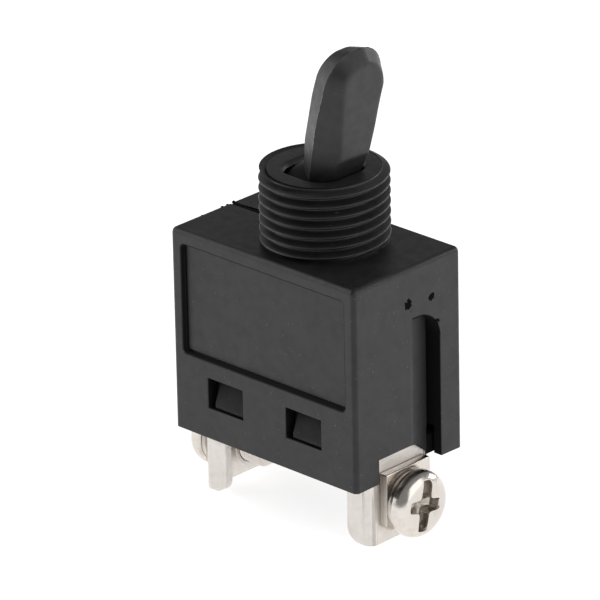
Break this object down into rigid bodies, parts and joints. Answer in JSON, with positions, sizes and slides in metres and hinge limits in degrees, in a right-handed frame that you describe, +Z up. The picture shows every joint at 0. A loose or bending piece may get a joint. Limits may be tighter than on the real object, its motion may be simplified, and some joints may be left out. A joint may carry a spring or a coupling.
{
  "type": "angle grinder toggle switch",
  "caption": "Panel-mounted toggle switch for a power tool: boxy moulded case, threaded neck with a flat-sided tilting lever, and a folded screw terminal at each end.",
  "frame": {"origin": "on the neck's axis where the neck meets the case's top face, which seats against the panel", "axes": "+Z up the neck, +X along the case towards the load terminal, -Y towards the label panel"},
  "size_m": [0.0276, 0.0142, 0.0471],
  "materials": {
    "case_plastic": "matte moulded",
    "lever_plastic": "satin moulded",
    "base_plastic": "matte moulded",
    "plated_brass": "nickel plated",
    "plated_steel": "nickel plated",
    "bare_brass": "bright",
    "contact_silver": "satin",
    "spring_steel": "bright"
  },
  "bodies": {
    "case": {"housing": "case_plastic", "base": "base_plastic", "fixed_contact": "contact_silver", "line_terminal": "plated_brass", "load_terminal": "plated_brass", "line_clamp_plate": "plated_steel", "load_clamp_plate": "plated_steel", "line_lock_washer": "plated_steel", "load_lock_washer": "plated_steel", "line_screw": "plated_steel", "load_screw": "plated_steel"},
    "lever": {"lever": "lever_plastic", "plunger_spring": "spring_steel"},
    "plunger": {"plunger": "plated_steel"},
    "rocker": {"rocker": "bare_brass", "moving_contact": "contact_silver"}
  },
  "joints": [
    {"name": "lever_swing", "type": "hinge", "parent": "case", "child": "lever", "pos_m": [0, 0, 0.0034], "axis": [0, 1, 0], "range_deg": [-28, 0]},
    {"name": "plunger_press", "type": "slide", "parent": "lever", "child": "plunger", "axis": [0.2419, 0, 0.9703], "range_m": [0, 0.0008], "stiffness_N_per_m": 400, "springref_m": -0.003, "deforming": ["plunger_spring"]},
    {"name": "rocker_tilt", "type": "hinge", "parent": "case", "child": "rocker", "pos_m": [0, 0, -0.0073], "axis": [0, 1, 0], "range_deg": [0, 14]}
  ],
  "couplings": [
    {"joint": "rocker_tilt", "follows": "lever_swing", "ratio": -0.5}
  ]
}
